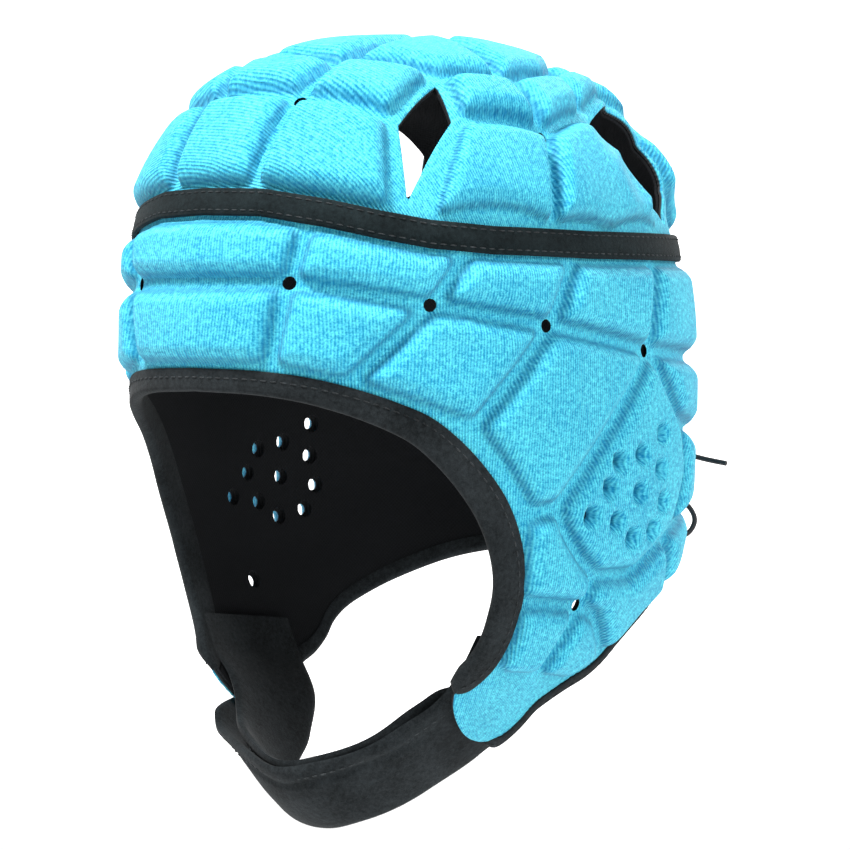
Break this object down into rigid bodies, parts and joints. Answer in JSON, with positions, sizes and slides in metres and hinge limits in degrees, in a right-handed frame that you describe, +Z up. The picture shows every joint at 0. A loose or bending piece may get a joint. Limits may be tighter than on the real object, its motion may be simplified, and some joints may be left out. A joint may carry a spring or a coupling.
{
  "type": "rugby scrum cap",
  "caption": "Quilted foam-padded rugby scrum cap with crown vents, ear pads, velour edge binding, laced back opening and a two-strap chin sling.",
  "frame": {"origin": "inside of the top of the crown, where the top of the head seats", "axes": "+Z up, -Y the way the wearer looks, +X the wearer's left"},
  "size_m": [0.177, 0.2267, 0.2587],
  "materials": {
    "padded_cloth": "matte ribbed stretch knit over foam pads",
    "trim_velour": "matte brushed loop cloth",
    "lining_mesh": "matte knit lining",
    "lace_cord": "satin round braid"
  },
  "bodies": {
    "root": {"crown_panel": "padded_cloth", "crown_lining": "lining_mesh", "side_panel": "padded_cloth", "side_lining": "lining_mesh", "head_band": "trim_velour", "face_binding": "trim_velour", "neck_binding_left": "trim_velour", "neck_binding_right": "trim_velour", "chin_strap_outer": "trim_velour", "chin_strap_inner": "trim_velour", "lace_lacing": "lace_cord", "lace_knot": "lace_cord", "lace_loop_left": "lace_cord", "lace_loop_right": "lace_cord", "lace_tail_left": "lace_cord", "lace_tail_right": "lace_cord"}
  },
  "joints": []
}
